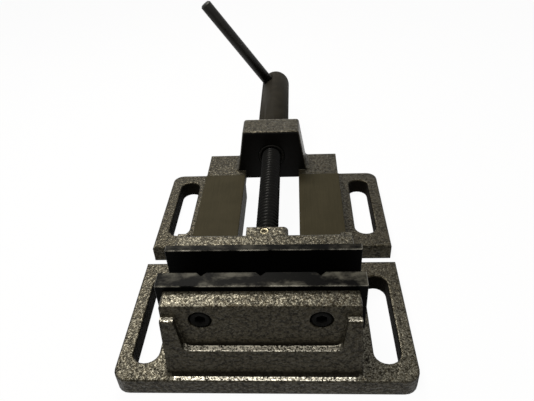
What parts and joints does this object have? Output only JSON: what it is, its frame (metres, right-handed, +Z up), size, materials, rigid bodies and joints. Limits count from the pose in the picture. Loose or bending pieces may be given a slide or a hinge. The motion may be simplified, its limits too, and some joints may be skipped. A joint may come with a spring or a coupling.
{
  "type": "drill press vise",
  "caption": "Drill press vise: slotted cast base with two rails, fixed vee jaw and sliding jaw on a lead screw with a lever handle, bolts to a drill table.",
  "frame": {"origin": "centre plane of the vise, below the gripping face of the fixed jaw, on the underside of the base", "axes": "+Y from the fixed jaw towards the handle, along the lead screw; +Z up from the table; +X to the right seen from the fixed jaw"},
  "size_m": [0.157, 0.2955, 0.1198],
  "materials": {
    "hammer_paint": "dark grey-brown hammered paint on cast iron, rails machined",
    "black_oxide": "turned or ground steel, black oxide, lightly oiled",
    "screw_black": "black oxide fastener",
    "bush_steel": "dark turned steel",
    "bright_steel": "bright plated steel",
    "keeper_steel": "plain milled steel"
  },
  "bodies": {
    "base": {"base_casting": "hammer_paint", "fixed_jaw_plate": "black_oxide", "fixed_jaw_screw_left": "screw_black", "fixed_jaw_screw_right": "screw_black", "screw_bush": "bush_steel", "bush_grub_screw": "screw_black"},
    "moving_jaw": {"moving_jaw_casting": "hammer_paint", "moving_jaw_plate": "black_oxide", "moving_jaw_screw_left": "screw_black", "moving_jaw_screw_right": "screw_black", "thrust_button": "bright_steel", "spindle_set_screw": "bright_steel", "keeper_plate": "keeper_steel", "keeper_screw_front": "screw_black", "keeper_screw_rear": "screw_black"},
    "spindle": {"lead_screw": "black_oxide", "spindle_hub": "black_oxide", "hub_pin": "screw_black", "handle_bar": "black_oxide"}
  },
  "joints": [
    {"name": "jaw_slide", "type": "slide", "parent": "base", "child": "moving_jaw", "axis": [0, 1, 0], "range_m": [-0.0155, 0.0826]},
    {"name": "spindle_spin", "type": "hinge", "parent": "moving_jaw", "child": "spindle", "pos_m": [0, 0.06, 0.0414], "axis": [0, 1, 0], "range_deg": [-1854, 9900]}
  ],
  "couplings": [
    {"joint": "jaw_slide", "follows": "spindle_spin", "m_per_rad": 0.00047746}
  ]
}
